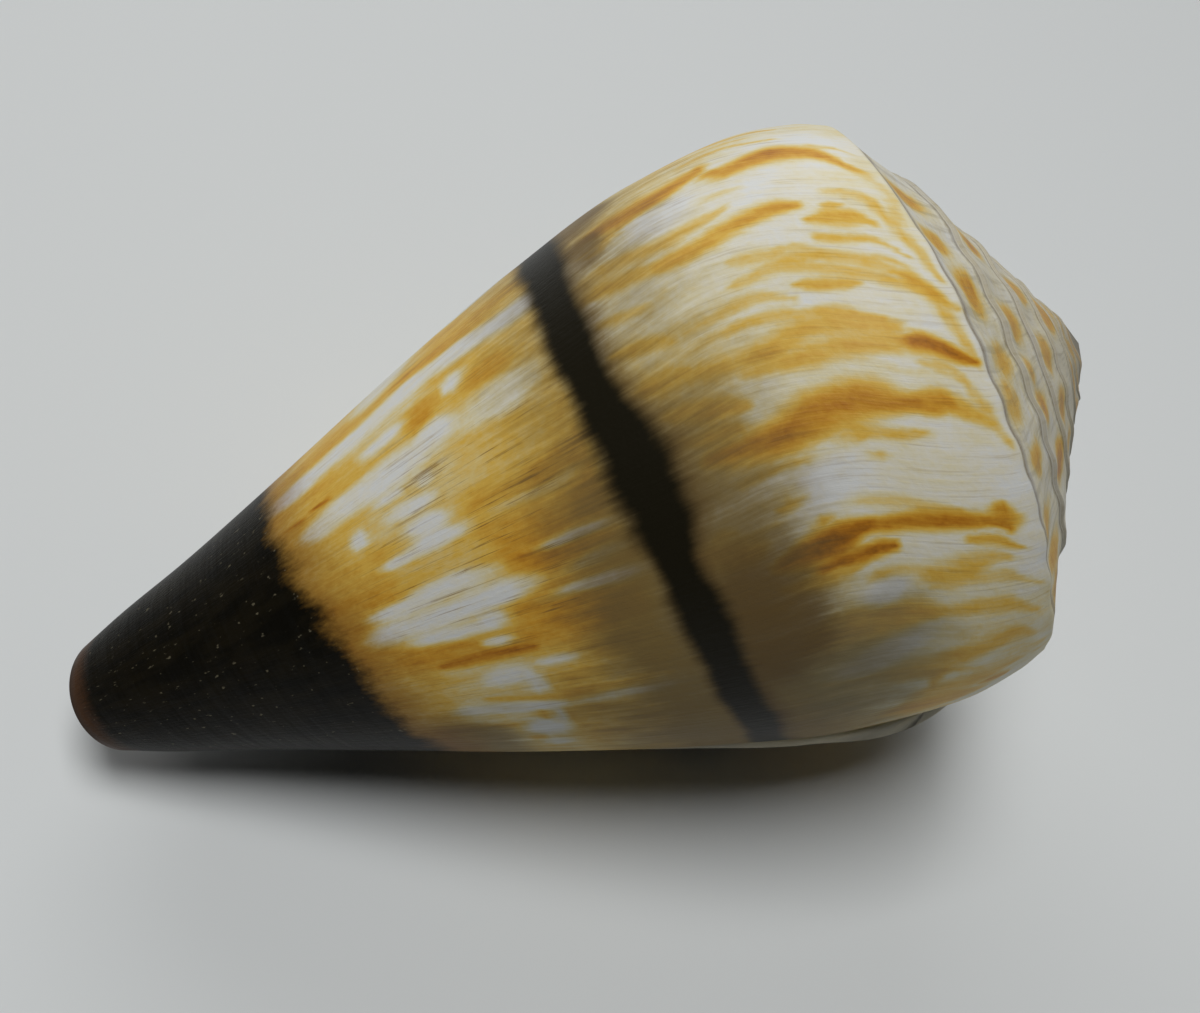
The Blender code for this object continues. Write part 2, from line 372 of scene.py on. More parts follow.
# %% Make the mesh
UNEVEN_MM, UNEVEN_WAVES, SHORTEST_MM, LONGEST_MM = 0.060, 9, 9.0, 26.0
places = np.concatenate(net.points)
bumps = np.random.default_rng(3)
uneven = sum(
    np.sin(places @ (bumps.normal(size=3) * math.tau / size) + bumps.uniform(0, math.tau))
    for size in np.geomspace(SHORTEST_MM, LONGEST_MM, UNEVEN_WAVES)
)
# The waves fade in above the shoulder and fade out at the apex itself.
above_shoulder = ease(-SHOULDER_BACK + 0.5, -SHOULDER_BACK + 5.0, places[:, 0])
on_spire_only = above_shoulder * ease(0.3, 2.5, np.hypot(places[:, 1], places[:, 2]))
places[:, 0] -= UNEVEN_MM * np.clip(uneven, -3, 3) * on_spire_only
places = places * MM

data = bpy.data.meshes.new("shell_surface")
quads = np.concatenate(net.faces)
faces = quads.tolist() + apex_fan.tolist() + front_fan.tolist() + front_rim + [end_flat.tolist()]
data.from_pydata(places.tolist(), [], faces)
data.update()
for name, values in (("turn", net.turn), ("share", net.share), ("inside", net.part)):
    stored = data.attributes.new(name, "FLOAT", "POINT").data
    stored.foreach_set("value", np.concatenate(values).astype(np.float32))
data.polygons.foreach_set("use_smooth", [True] * len(data.polygons))
shell = bpy.data.objects.new("shell_surface", data)
bpy.context.scene.collection.objects.link(shell)
print("shell surface:", sum(len(p.vertices) - 2 for p in data.polygons), "triangles")

# %% [markdown]
# ## Laying it down
#
# The shell rests on its belly with its lip tucked under on the near side. The roll, the tilt and the
# shift are those of the solid, so that both lie in exactly the same place. Where the solid has its
# small worn flat, the net is pressed flat on the table too.

# %% Same place as the solid
LIP_ROUND = math.radians(45.0)
LAID_TILT = math.radians(20.2)
LAID_SHIFT = Vector((41.7519, -0.9783, 35.2346)) * MM
laid = (
    Matrix.Translation(LAID_SHIFT)
    @ Matrix.Rotation(-LAID_TILT, 4, "Y")
    @ Matrix.Rotation(-math.pi / 2 - LIP_ROUND, 4, "X")
)
data.transform(laid)
pressed = sum(vertex.co.z < 0 for vertex in data.vertices)
for vertex in data.vertices:
    vertex.co.z = max(vertex.co.z, 0.0)
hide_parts("shell")
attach(shell, "root")
print("points pressed flat on the table:", pressed)

# %% [markdown]
# ## Camera
#
# The photograph was taken from close by, so the near side looks larger than the far one. A camera set
# by eye would show the wrong share of the spire. This one was found by fitting the outline, the
# shoulder, the dark band and the edge of the dark end together, in the shell's own axes. It is then
# carried along with the shell.

# %% Camera
CAMERA_FIT = dict(along=45.5, away=121.3, elevation=-0.010, yaw=-0.009, roll=-0.358, focal_px=1484.0)
# In the fit the lip stood this far round the axis.
LIP_IN_FIT = math.radians(287.0)
PHOTO_WIDTH_PX, SENSOR_MM = 1200, 36.0
NEAREST_M, FURTHEST_M = 0.005, 20.0


def camera_matrix(fit):
    """The fitted camera in the shell's own axes, laid down with the shell."""
    yaw, elevation, roll = fit["yaw"], fit["elevation"], fit["roll"]
    forward = Vector((
        math.sin(yaw) * math.cos(elevation), math.cos(yaw) * math.cos(elevation), -math.sin(elevation),
    ))
    right = forward.cross(Vector((0, 0, 1))).normalized()
    up = right.cross(forward)
    right, up = right * math.cos(roll) + up * math.sin(roll), up * math.cos(roll) - right * math.sin(roll)
    turned = Matrix((right, up, -forward)).transposed().to_4x4()
    turned.translation = Vector((fit["along"] - LENGTH, -fit["away"], 0)) * MM
    return laid @ Matrix.Rotation(-LIP_IN_FIT, 4, "X") @ turned


camera = bpy.data.objects.new("camera", bpy.data.cameras.new("camera"))
bpy.context.scene.collection.objects.link(camera)
camera.data.sensor_width = SENSOR_MM
camera.data.sensor_fit = "HORIZONTAL"
camera.data.lens = CAMERA_FIT["focal_px"] * SENSOR_MM / PHOTO_WIDTH_PX
camera.data.clip_start, camera.data.clip_end = NEAREST_M, FURTHEST_M
camera.matrix_world = camera_matrix(CAMERA_FIT)
bpy.context.scene.camera = camera
ahead = -(camera.matrix_world.to_3x3() @ Vector((0, 0, 1)))
print("camera at", [round(v, 3) for v in camera.location])
print("looking down by", round(math.degrees(math.asin(-ahead.z)), 1), "degrees")

# %% [markdown]
# ## Table and lights
#
# The shell lies on plain pale paper. Two soft lights make the photograph's shading: a small lamp nearly
# overhead, which brightens the top of the shell and casts the short soft shadow under it, and a wide
# window behind, which lights the paper and the far edge. There is very little other light, so the near
# side falls into shade. A picture of a room could light the shell too, but two lights can be moved and
# dimmed one at a time.

# %% Paper and two soft lights
PAPER_GREY, PAPER_ROUGHNESS, TABLE_M = "#CED1D1", 0.9, 3.0
ROOM_COLOUR, ROOM_STRENGTH = "#F2F4F6", 0.02


def linear(hex_colour):
    """sRGB hex colour to the linear values that the renderer uses."""
    values = [int(hex_colour[i : i + 2], 16) / 255 for i in (1, 3, 5)]
    return tuple(v / 12.92 if v <= 0.04045 else ((v + 0.055) / 1.055) ** 2.4 for v in values) + (1.0,)


def plane(name, size):
    half = size / 2
    corners = [(-half, -half, 0.0), (half, -half, 0.0), (half, half, 0.0), (-half, half, 0.0)]
    mesh = bpy.data.meshes.new(name)
    mesh.from_pydata(corners, [], [(0, 1, 2, 3)])
    obj = bpy.data.objects.new(name, mesh)
    bpy.context.scene.collection.objects.link(obj)
    return obj


# Uncoated paper: rough and without shine, so the eye reads it as plain ground under the glossy shell.
paper = bpy.data.materials.new("matt pale grey paper")
paper.use_nodes = True
paper_finish = paper.node_tree.nodes["Principled BSDF"]
paper_finish.inputs["Base Color"].default_value = linear(PAPER_GREY)
paper_finish.inputs["Roughness"].default_value = PAPER_ROUGHNESS
table = plane("table", TABLE_M)
table.data.materials.append(paper)


def soft_light(name, at, target, size, watts):
    light = bpy.data.lights.new(name, "AREA")
    light.shape = "RECTANGLE"
    light.size, light.size_y = size
    light.energy = watts
    lamp = bpy.data.objects.new(name, light)
    lamp.location = at
    lamp.rotation_euler = (Vector(target) - Vector(at)).to_track_quat("-Z", "Y").to_euler()
    bpy.context.scene.collection.objects.link(lamp)
    return lamp


lights = [
    soft_light("lamp above", at=(-0.02, 0.0, 0.60), target=(0, 0, 0.02), size=(0.28, 0.24), watts=2.65),
    soft_light("window behind", at=(0.10, 0.80, 0.38), target=(0, 0, 0), size=(0.8, 0.5), watts=3.3),
]
world = bpy.data.worlds.new("room")
bpy.context.scene.world = world
world.use_nodes = True
world.node_tree.nodes["Background"].inputs["Color"].default_value = linear(ROOM_COLOUR)
world.node_tree.nodes["Background"].inputs["Strength"].default_value = ROOM_STRENGTH
bpy.context.scene.view_settings.view_transform = "Standard"
print("lights:", [(lamp.name, round(lamp.data.energy, 2)) for lamp in lights])

# %% [markdown]
# ## The markings, placed by growth
#
# Colour is laid down at the lip as well, so every mark follows the same two coordinates: the turn and the
# share of the way down the body. Streaks are drawn as strokes along the growth lines, pale spots and golden
# spots as ovals, and the dark band and the dark front end as lines that run round with the spiral. The side
# that the photograph shows is set mark by mark. The far side is filled with marks of the same kind.
#
# A painted picture wrapped round the shell would stretch at the shoulder and the tip. Marks given as
# numbers stay sharp at any size, and each can be moved on its own.

# %% Strokes along the growth lines
# Each stroke: golden strength (0.3 pale yellow, 0.6 golden, 0.8 orange, 1.0 orange brown), half width in
# turns, then its points as (turn, share).
STREAKS = (
    (0.74, 0.0065, (0.572, 0.022), (0.562, 0.05), (0.553, 0.09), (0.548, 0.13), (0.54, 0.155)),
    (0.76, 0.0075, (0.531, 0.165), (0.531, 0.2), (0.528, 0.25), (0.524, 0.29)),
    (0.35, 0.003, (0.612, 0.02), (0.6, 0.03), (0.592, 0.06)),
    (0.62, 0.0042, (0.617, 0.04), (0.612, 0.07), (0.607, 0.095)),
    (0.5, 0.0025, (0.605, 0.058), (0.602, 0.075)),
    (0.64, 0.0052, (0.596, 0.1), (0.592, 0.12), (0.59, 0.16), (0.586, 0.2), (0.582, 0.24)),
    (0.55, 0.004, (0.582, 0.24), (0.577, 0.28), (0.571, 0.31)),
    (0.5, 0.0042, (0.574, 0.16), (0.571, 0.2), (0.567, 0.25), (0.564, 0.29)),
    (0.48, 0.003, (0.628, 0.09), (0.625, 0.13), (0.622, 0.16), (0.618, 0.19)),
    (0.66, 0.0036, (0.65, 0.014), (0.645, 0.045)),
    (0.5, 0.0022, (0.645, 0.045), (0.635, 0.07), (0.628, 0.1)),
    (0.56, 0.005, (0.672, 0.06), (0.667, 0.09), (0.66, 0.125), (0.655, 0.15), (0.65, 0.19), (0.643, 0.26)),
    (0.84, 0.0046, (0.684, 0.01), (0.682, 0.03), (0.679, 0.055)),
    (0.55, 0.0045, (0.68, 0.05), (0.675, 0.1), (0.669, 0.145), (0.663, 0.17), (0.655, 0.21)),
    (0.56, 0.0042, (0.714, 0.012), (0.712, 0.045), (0.708, 0.075)),
    (0.8, 0.0072, (0.706, 0.075), (0.697, 0.11), (0.692, 0.14), (0.688, 0.18), (0.685, 0.22), (0.683, 0.26)),
    (0.7, 0.0045, (0.711, 0.05), (0.706, 0.08)),
    (0.68, 0.0025, (0.709, 0.13), (0.705, 0.16)),
    (0.72, 0.0045, (0.758, 0.027), (0.769, 0.03)),
    (0.84, 0.0042, (0.77, 0.03), (0.766, 0.05), (0.76, 0.08), (0.755, 0.11), (0.751, 0.135), (0.745, 0.16)),
    (0.92, 0.0055, (0.745, 0.16), (0.742, 0.19), (0.74, 0.235)),
    (0.9, 0.0035, (0.762, 0.14), (0.758, 0.16), (0.752, 0.185), (0.75, 0.21)),
    (0.6, 0.0025, (0.781, 0.02), (0.777, 0.05), (0.772, 0.075)),
    (0.42, 0.003, (0.802, 0.03), (0.798, 0.055)),
    (0.52, 0.0045, (0.823, 0.018), (0.817, 0.05), (0.811, 0.08), (0.805, 0.1), (0.8, 0.13)),
    (0.64, 0.0085, (0.8, 0.13), (0.795, 0.16), (0.79, 0.19), (0.786, 0.24)),
    (0.4, 0.003, (0.79, 0.08), (0.787, 0.12)),
    (0.56, 0.004, (0.838, 0.1), (0.837, 0.116)),
    (0.58, 0.0035, (0.838, 0.12), (0.848, 0.135), (0.858, 0.14)),
    (0.36, 0.007, (0.86, 0.02), (0.862, 0.05), (0.86, 0.08)),
    (0.42, 0.0065, (0.832, 0.15), (0.826, 0.19), (0.822, 0.22), (0.818, 0.25)),
    (0.7, 0.003, (0.888, 0.06), (0.879, 0.085)),
    (0.62, 0.011, (0.888, 0.1), (0.882, 0.14), (0.878, 0.19)),
    (0.7, 0.0022, (0.731, 0.185), (0.731, 0.197)),
    (0.6, 0.0022, (0.717, 0.2), (0.717, 0.235)),
    (0.6, 0.002, (0.715, 0.27), (0.714, 0.29)),
    (0.7, 0.0065, (0.729, 0.26), (0.722, 0.3), (0.72, 0.33)),
    (0.55, 0.003, (0.622, 0.25), (0.617, 0.28), (0.613, 0.31)),
    (0.5, 0.0028, (0.596, 0.27), (0.592, 0.32)),
    (0.62, 0.004, (0.666, 0.22), (0.658, 0.26), (0.654, 0.29)),
    (0.6, 0.0035, (0.674, 0.23), (0.668, 0.28)),
    (0.6, 0.005, (0.64, 0.26), (0.636, 0.3)),
    (0.46, 0.0024, (0.59, 0.06), (0.596, 0.032), (0.61, 0.016), (0.64, 0.008)),
    (0.46, 0.0024, (0.636, 0.06), (0.64, 0.034), (0.655, 0.016), (0.68, 0.008)),
    (0.42, 0.0024, (0.69, 0.05), (0.694, 0.03), (0.706, 0.015), (0.725, 0.008)),
    (0.34, 0.0022, (0.56, 0.045), (0.566, 0.024), (0.584, 0.012), (0.61, 0.006)),
    (0.5, 0.005, (0.788, 0.04), (0.784, 0.08), (0.778, 0.125), (0.77, 0.165)),
    (0.54, 0.006, (0.845, 0.03), (0.842, 0.08), (0.838, 0.14), (0.832, 0.18)),
    (0.5, 0.007, (0.872, 0.05), (0.868, 0.1), (0.862, 0.16)),
    (0.58, 0.004, (0.76, 0.175), (0.756, 0.205), (0.752, 0.24)),
    # In front of the band.
    (0.62, 0.0105, (0.51, 0.38), (0.513, 0.46), (0.514, 0.54), (0.508, 0.62), (0.509, 0.7)),
    (0.85, 0.0042, (0.742, 0.49), (0.741, 0.55), (0.743, 0.6)),
    (0.74, 0.0095, (0.732, 0.38), (0.73, 0.44), (0.732, 0.49)),
    (0.74, 0.006, (0.732, 0.545), (0.733, 0.58), (0.732, 0.62)),
    (0.78, 0.006, (0.694, 0.39), (0.69, 0.45), (0.687, 0.49)),
    (0.6, 0.003, (0.782, 0.38), (0.782, 0.48), (0.782, 0.56)),
)

print("strokes on the side seen:", len(STREAKS))

# %% Ovals, the dark band and the dark front end
# Each oval: centre (turn, share), half sizes (turns, share), and the golden strength inside it.
SPOTS = (
    (0.48, 0.57, 0.03, 0.035, 0.1), (0.539, 0.4, 0.01, 0.04, 0.02), (0.534, 0.46, 0.01, 0.05, 0.02),
    (0.532, 0.53, 0.01, 0.05, 0.02), (0.536, 0.6, 0.012, 0.05, 0.02), (0.539, 0.67, 0.012, 0.045, 0.02),
    (0.572, 0.43, 0.01, 0.032, 0.66), (0.561, 0.47, 0.0075, 0.014, 0.02),
    (0.566, 0.517, 0.013, 0.022, 0.72), (0.562, 0.565, 0.007, 0.026, 0.05),
    (0.566, 0.617, 0.01, 0.025, 0.56), (0.576, 0.645, 0.0022, 0.012, 0.9),
    (0.578, 0.675, 0.0022, 0.014, 0.8), (0.592, 0.43, 0.012, 0.05, 0.18), (0.587, 0.505, 0.01, 0.024, 0.0),
    (0.594, 0.56, 0.013, 0.045, 0.02), (0.594, 0.62, 0.012, 0.04, 0.03), (0.598, 0.655, 0.009, 0.025, 0.12),
    (0.627, 0.55, 0.006, 0.026, 0.02), (0.612, 0.575, 0.0045, 0.017, 0.05),
    (0.613, 0.53, 0.005, 0.012, 0.12), (0.628, 0.617, 0.007, 0.012, 0.0),
    (0.643, 0.545, 0.0055, 0.028, 0.05), (0.655, 0.545, 0.007, 0.04, 0.0), (0.657, 0.59, 0.004, 0.02, 0.05),
    (0.686, 0.41, 0.0035, 0.04, 0.1), (0.688, 0.545, 0.0065, 0.05, 0.02), (0.69, 0.6, 0.006, 0.04, 0.05),
    (0.702, 0.505, 0.008, 0.042, 0.0), (0.704, 0.56, 0.008, 0.045, 0.0), (0.705, 0.61, 0.009, 0.035, 0.03),
    (0.717, 0.52, 0.006, 0.022, 0.03), (0.718, 0.57, 0.006, 0.04, 0.03), (0.715, 0.41, 0.004, 0.045, 0.12),
    (0.703, 0.4, 0.004, 0.035, 0.3), (0.655, 0.43, 0.003, 0.05, 0.4), (0.732, 0.52, 0.004, 0.016, 0.05),
    (0.756, 0.475, 0.0045, 0.02, 0.15), (0.76, 0.535, 0.008, 0.028, 0.08), (0.769, 0.51, 0.008, 0.01, 0.05),
    (0.792, 0.52, 0.006, 0.035, 0.02), (0.791, 0.57, 0.0055, 0.035, 0.04), (0.792, 0.42, 0.004, 0.06, 0.22),
    (0.819, 0.52, 0.014, 0.022, 0.04), (0.806, 0.498, 0.01, 0.006, 0.05), (0.803, 0.516, 0.006, 0.01, 0.6),
    (0.835, 0.535, 0.003, 0.01, 0.62), (0.845, 0.52, 0.007, 0.015, 0.1), (0.552, 0.215, 0.012, 0.045, 0.0),
    (0.717, 0.17, 0.013, 0.035, 0.0), (0.779, 0.16, 0.006, 0.03, 0.0), (0.813, 0.18, 0.009, 0.05, 0.0),
)
# The dark band: turn, its middle and its half width as shares.
BAND = (
    (0.0, 0.352, 0.019), (0.2, 0.35, 0.021), (0.4, 0.35, 0.02), (0.5, 0.346, 0.023), (0.55, 0.348, 0.02),
    (0.6, 0.346, 0.019), (0.635, 0.342, 0.02), (0.66, 0.33, 0.027), (0.7, 0.329, 0.026),
    (0.722, 0.333, 0.015), (0.75, 0.327, 0.02), (0.8, 0.325, 0.017), (0.85, 0.317, 0.016),
    (0.9, 0.313, 0.016), (1.1, 0.305, 0.017),
)
# Where the dark front end begins: turn and share.
DARK_FROM = (
    (0.0, 0.725), (0.25, 0.73), (0.46, 0.727), (0.5, 0.72), (0.55, 0.712), (0.6, 0.701), (0.64, 0.69),
    (0.66, 0.68), (0.7, 0.672), (0.75, 0.662), (0.8, 0.66), (0.85, 0.65), (0.9, 0.64), (1.1, 0.63),
)
# Blotches on the spire: turn, share up the ramp, half sizes (turns, ramp share) and golden strength.
SPIRE_SPOTS = (
    (0.583, 0.45, 0.012, 0.3, 0.72), (0.618, 0.45, 0.009, 0.26, 0.66), (0.652, 0.6, 0.017, 0.24, 0.74),
    (0.693, 0.62, 0.012, 0.25, 0.6), (0.716, 0.4, 0.012, 0.26, 0.56), (0.752, 0.55, 0.01, 0.26, 0.66),
    (0.79, 0.4, 0.01, 0.3, 0.6), (0.82, 0.5, 0.012, 0.3, 0.66), (1.56, 0.4, 0.014, 0.36, 0.7),
    (1.597, 0.4, 0.012, 0.32, 0.78), (1.667, 0.5, 0.018, 0.34, 0.68), (1.705, 0.35, 0.012, 0.3, 0.62),
    (1.735, 0.4, 0.014, 0.36, 0.76), (1.79, 0.6, 0.016, 0.4, 0.82), (2.62, 0.5, 0.02, 0.4, 0.66),
    (2.697, 0.4, 0.024, 0.45, 0.66), (2.76, 0.5, 0.022, 0.45, 0.72), (3.64, 0.6, 0.036, 0.6, 0.72),
)
print("ovals on the side seen:", len(SPOTS), "and on its spire:", len(SPIRE_SPOTS))

# %% [markdown]
# ## Marks on the side turned away
#
# The photograph shows only one side, so the other one is guessed: marks of the same kind and size, drawn by
# chance from one fixed seed, so that they come out the same each time. Repeating the near side's marks
# would be simpler, but from above the two copies would show.

# %% Marks by chance
# The turns that the photograph doesn't show.
UNSEEN = ((0.012, 0.470), (0.905, 0.995))
SPOTS_PER_TURN = 110
# How far the marks lean near the shoulder: share of the way down, and turns.
LEAN = ((0.02, 0.040), (0.06, 0.032), (0.12, 0.016), (0.20, 0.004), (0.32, 0.000))
# The golden strengths of chance ovals: most are pale, some golden.
OVAL_LEVELS = (0.02, 0.04, 0.10, 0.60, 0.72)
# Blotches on the spire are about this many turns apart. The stretch seen has its own, for the newest whorls.
SPIRE_SPACING, SEEN_FROM, SEEN_TO, SEEN_WHORLS = 0.038, 0.55, 0.83, 4


def chance_streak(rng, turn):
    """One streak from the shoulder downwards, or None where it would be too short."""
    strength = rng.uniform(0.42, 0.92)
    half = rng.uniform(0.003, 0.0095)
    top, bottom = rng.choice([0.02, 0.05, 0.12]), rng.choice([0.10, 0.20, 0.27, 0.30])
    if bottom <= top + 0.03:
        return None
    shares = np.linspace(top, bottom, 5)
    wander = np.cumsum(rng.normal(0, 0.0012, 5))
    leaned = np.interp(shares, *np.array(LEAN).T)
    return (strength, half, *((turn + a + b, c) for a, b, c in zip(leaned, wander, shares)))


def far_side_marks(seed):
    """Streaks and ovals for the body, and blotches for the spire, where the photograph doesn't show it."""
    rng = np.random.default_rng(seed)
    streaks, spots, blotches = [], [], []
    for start, end in UNSEEN:
        turn = start
        while turn < end:
            streak = chance_streak(rng, turn)
            if streak:
                streaks.append(streak)
            turn += rng.uniform(0.014, 0.042)
        for _ in range(round((end - start) * SPOTS_PER_TURN)):
            centre, share = rng.uniform(start, end), rng.uniform(0.40, 0.68)
            level = rng.choice(OVAL_LEVELS)
            spots.append((centre, share, rng.uniform(0.004, 0.012), rng.uniform(0.012, 0.045), level))
    for turn in np.arange(0.02, 7.0, SPIRE_SPACING):
        if not SEEN_FROM < turn % 1.0 < SEEN_TO or turn > SEEN_WHORLS:
            centre, up = turn + rng.normal(0, 0.008), rng.uniform(0.2, 0.7)
            half = rng.uniform(0.008, 0.018) * (1 + 0.3 * turn)
            blotches.append((centre, up, half, rng.uniform(0.25, 0.5), rng.uniform(0.45, 0.75)))
    return streaks, spots, blotches


far_streaks, far_spots, far_spire = far_side_marks(7)
print("by chance:", len(far_streaks), "streaks,", len(far_spots), "ovals,", len(far_spire), "on the spire")

# %% [markdown]
# ## Brushes
#
# Real marks have soft edges and wander a little with the growth lines. A brush here is a small function
# that gives 1 in the middle of a mark and falls softly to 0 at its edge. The unrolled shell is measured
# in mm, and the places are shaken by long random waves first, so that no mark has a ruled edge.

# %% Strokes, ovals and waves
# The body's length, and the way once round it at the shoulder, in mm.
BODY_MM, ROUND_MM = 66.0, 160.0
# Growth lines lean back near the shoulder by this many turns, down to this share.
SHOULDER_LEAN, LEAN_SHARE = 0.046, 0.24
# A stroke's soft edge runs between these multiples of its half width, and an oval's between the others.
STROKE_FULL, STROKE_GONE = 0.20, 1.95
OVAL_FULL, OVAL_GONE = 0.40, 1.50

all_turn = np.concatenate(net.turn)
all_share = np.concatenate(net.share)


def waves(seed, count, short, long):
    """A smooth random field over the unrolled shell, about -1 to 1: a sum of waves, short to long in mm."""
    rng = np.random.default_rng(seed)
    heading, length = rng.uniform(0, math.tau, count), np.geomspace(short, long, count)
    phase, weight = rng.uniform(0, math.tau, count), np.sqrt(length / long)
    across, down = all_turn * ROUND_MM, all_share * BODY_MM
    total = sum(
        w * np.sin(math.tau * (across * np.cos(h) + down * np.sin(h)) / size + p)
        for h, size, p, w in zip(heading, length, phase, weight)
    )
    return total / np.sqrt((weight**2).sum())


def stroke_field(turn, share, half, path):
    """1 along the middle, soft at the edge. A stroke is wide in the middle and thin at its ends."""
    path = np.array(path)
    scale = np.array([ROUND_MM, BODY_MM])
    here, path = np.stack([turn, share], -1) * scale, path * scale
    pieces = np.linalg.norm(np.diff(path, axis=0), axis=1)
    starts = np.concatenate([[0], np.cumsum(pieces)])
    best = np.full(turn.shape, 99.0)
    for a, b, start, piece in zip(path, path[1:], starts, pieces):
        t = np.clip((here - a) @ (b - a) / piece**2, 0, 1)
        done = (start + t * piece) / starts[-1]
        width = half * ROUND_MM * (0.35 + 0.75 * np.sqrt(np.sin(math.pi * np.clip(done, 0.02, 0.98))))
        best = np.minimum(best, np.linalg.norm(here - a - t[:, None] * (b - a), axis=-1) / width)
    return 1 - ease(STROKE_FULL, STROKE_GONE, best)


def spot_field(turn, share, centre, share_at, half, half_share):
    """1 inside an oval and soft at its edge."""
    away = np.hypot((turn - centre) / half, (share - share_at) / half_share)
    return 1 - ease(OVAL_FULL, OVAL_GONE, away)


# Marks wander by this much in turns and in share, in waves of 2.5 to 14 mm.
WANDER_ROUND, WANDER_DOWN, WANDER_MM = 0.0016, 0.0050, (2.5, 14.0)
wave_turn = all_turn + WANDER_ROUND * waves(11, 14, *WANDER_MM)
wave_share = all_share + WANDER_DOWN * waves(12, 14, *WANDER_MM)
# Right at the shoulder they bend sharply and run along its edge, by this many turns above this share.
EDGE_BEND, EDGE_BEND_SHARE = 0.013, 0.055
on_body = all_share >= 0
wave_turn -= np.where(on_body, EDGE_BEND * (1 - ease(0.0, EDGE_BEND_SHARE, all_share)), 0)
print("marks wander by up to", round(float(abs(wave_share - all_share).max()) * BODY_MM, 2), "mm")

# %% [markdown]
# ## Golden marks on the white ground
#
# The ground is nearly white behind the dark band and tan in front of it. One number per point says how
# golden the shell is there: 0 is white, 0.3 pale yellow, 0.6 golden and 1 orange brown. The ground
# comes first. Then strokes darken it, and ovals set it lighter or darker. Numbers at the net's points
# need no unwrapping and follow the growth exactly.

# %% Ground, strokes and ovals
HAIR_STREAKS = 260
# How far round from its first point a stroke can reach, and an oval from its centre, in turns.
STROKE_REACH, OVAL_REACH, SPIRE_REACH = 0.09, 0.06, 0.2

# Behind the band the ground is nearly white and gets yellower towards the band. It is yellower again in
# two stretches, far round from the lip and just before the marks that the photograph shows.
rear_haze = 0.10 + 0.28 * ease(0.12, 0.31, wave_share) * (0.6 + 0.4 * ease(0.56, 0.66, all_turn))
rear_haze += 0.13 * ease(0.775, 0.83, wave_turn) * (1 - ease(0.95, 1.0, wave_turn))
rear_haze += 0.16 * ease(0.42, 0.46, wave_turn) * (1 - ease(0.515, 0.54, wave_turn))
# In front of the band it is tan, deeper in one stretch and paler in one ring halfway down.
tan_zone = 0.50 + 0.14 * ease(0.63, 0.645, wave_turn) * (1 - ease(0.735, 0.755, wave_turn))
tan_zone = tan_zone - 0.13 * ease(0.485, 0.51, wave_share) * (1 - ease(0.585, 0.61, wave_share))
front_zone = ease(0.352, 0.378, wave_share)
SPIRE_GROUND, GROUND_CHANGES, GROUND_MM = 0.12, 0.05, (3.0, 24.0)
gold = np.where(on_body, (1 - front_zone) * rear_haze + front_zone * tan_zone, SPIRE_GROUND)
gold += GROUND_CHANGES * waves(13, 16, *GROUND_MM)


def fine_streaks(seed, count):
    """Faint narrow streaks over the whole body, which run and lean with the growth lines."""
    rng = np.random.default_rng(seed)
    made = []
    for _ in range(count):
        turn, top = rng.uniform(0.0, 1.0), rng.choice([rng.uniform(0.0, 0.30), rng.uniform(0.36, 0.66)])
        bottom = top + rng.uniform(0.03, 0.14)
        strength, half = rng.uniform(0.25, 0.55), rng.uniform(0.0014, 0.0030)
        path = []
        for s in np.linspace(top, bottom, 4):
            lean = SHOULDER_LEAN * float(1 - ease(0, LEAN_SHARE, s))
            path.append((turn + lean + rng.normal(0, 0.001), s))
        made.append((strength, half, *path))
    return made


def lay(near_it, field, level, only_darker=False):
    """Moves the golden strength towards a mark's own level, as far as the brush covers."""
    change = (level - gold[near_it]) * field
    gold[near_it] += np.maximum(change, 0) if only_darker else change


for strength, half, *path in fine_streaks(5, HAIR_STREAKS) + far_streaks + list(STREAKS):
    near_it = on_body & (abs(all_turn - path[0][0]) < STROKE_REACH)
    lay(near_it, stroke_field(wave_turn[near_it], wave_share[near_it], half, path), strength, True)
for *oval, level in far_spots + list(SPOTS):
    near_it = on_body & (abs(all_turn - oval[0]) < OVAL_REACH)
    lay(near_it, spot_field(wave_turn[near_it], wave_share[near_it], *oval), level)
for *oval, level in list(SPIRE_SPOTS) + far_spire:
    near_it = ~on_body & (abs(all_turn - oval[0]) < SPIRE_REACH)
    lay(near_it, spot_field(wave_turn[near_it], -wave_share[near_it], *oval), level)
print("strokes laid:", HAIR_STREAKS + len(far_streaks) + len(STREAKS))
print("ovals laid:", len(far_spots) + len(SPOTS), "and on the spire:", len(SPIRE_SPOTS) + len(far_spire))

# %% [markdown]
# ## Dark band, dark front end, brown hazes and painted shade
#
# One dark band runs round the middle of the body, and the front end is dark all over. Both run with the
# spiral, so each is a line of turn and share, and a point's distance from that line says how dark it is.
# The band has a brown edge and a wide brown haze round it, strongest on the side away from the mouth.
# Low on the body, where it turns away from the light, and by the dark end, the haze is also painted
# shade, and a grey patch behind the band is painted shade alone.

# %% Band, haze, painted shade and dark end
# The band wanders a little less than the marks do.
band_turn, band_middle, band_half = np.array(BAND).T
from_band = 0.4 * wave_share + 0.6 * all_share - np.interp(all_turn, band_turn, band_middle)
half_here = np.interp(all_turn, band_turn, band_half)
band = 1 - ease(0.25, 2.05, abs(from_band) / half_here)
halo = 1 - ease(0.6, 2.9, abs(from_band + 0.006) / half_here)
dark_turn, dark_share = np.array(DARK_FROM).T
past_edge = (wave_share - np.interp(all_turn, dark_turn, dark_share)) * BODY_MM
# Places where the band's brown edge spreads: strength, centre (turn, share) and half sizes.
SMEARS = (
    (1.0, 0.535, 0.305, 0.022, 0.035), (1.0, 0.490, 0.300, 0.030, 0.055), (1.1, 0.765, 0.270, 0.045, 0.062),
)
smear = np.max([strength * spot_field(wave_turn, wave_share, *oval) for strength, *oval in SMEARS], axis=0)
